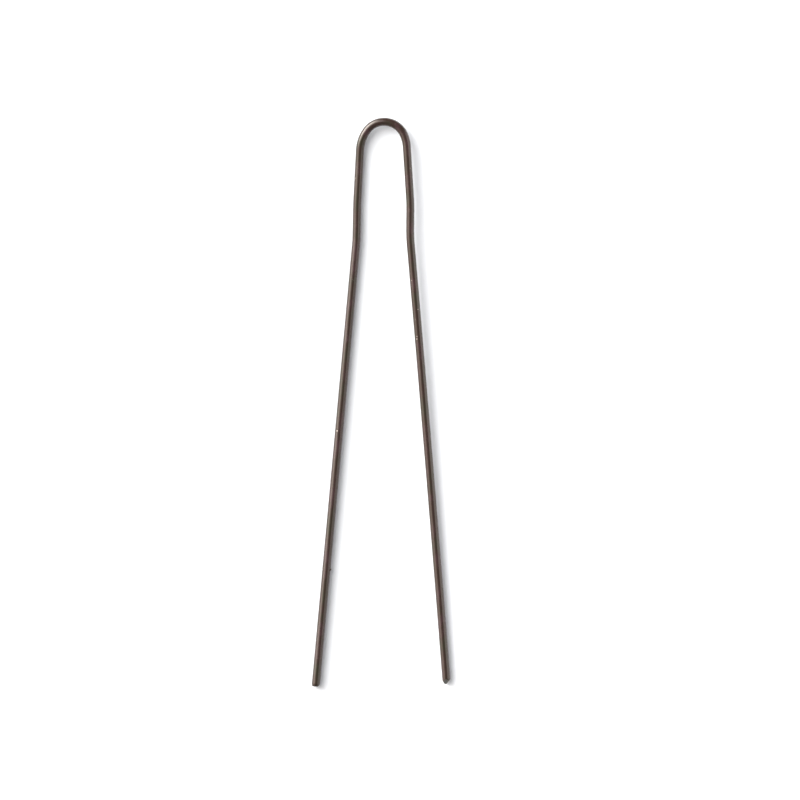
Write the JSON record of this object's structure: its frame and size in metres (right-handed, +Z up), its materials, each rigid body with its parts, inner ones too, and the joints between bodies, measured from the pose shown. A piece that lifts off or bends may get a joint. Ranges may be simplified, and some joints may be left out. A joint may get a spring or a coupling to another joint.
{
  "type": "hairpin",
  "caption": "U-shaped hairpin of lacquered round spring wire, with a narrow crown, flared legs that spring apart, and bare cut tips.",
  "frame": {"origin": "on the surface that the pin lies on, under the middle of its length and width", "axes": "+X across the pin from its left leg to its right, +Y along it from the tips to the crown, +Z up through the thickness of the wire"},
  "size_m": [0.0182, 0.075, 0.0017],
  "materials": {
    "lacquered_wire": "dark brown baked lacquer over drawn steel wire, satin to gloss"
  },
  "bodies": {
    "bow": {"bow": "lacquered_wire"},
    "left_leg": {"left_leg": "lacquered_wire"},
    "right_leg": {"right_leg": "lacquered_wire"}
  },
  "joints": [
    {"name": "left_leg_flex", "type": "hinge", "parent": "bow", "child": "left_leg", "pos_m": [-0.00311, 0.02722, 0.00055], "axis": [0, 0, -1], "range_deg": [-7, 10], "stiffness_Nm_per_rad": 0.3},
    {"name": "right_leg_flex", "type": "hinge", "parent": "bow", "child": "right_leg", "pos_m": [0.00378, 0.02723, 0.00115], "axis": [0, 0, 1], "range_deg": [-7, 10], "stiffness_Nm_per_rad": 0.3}
  ]
}
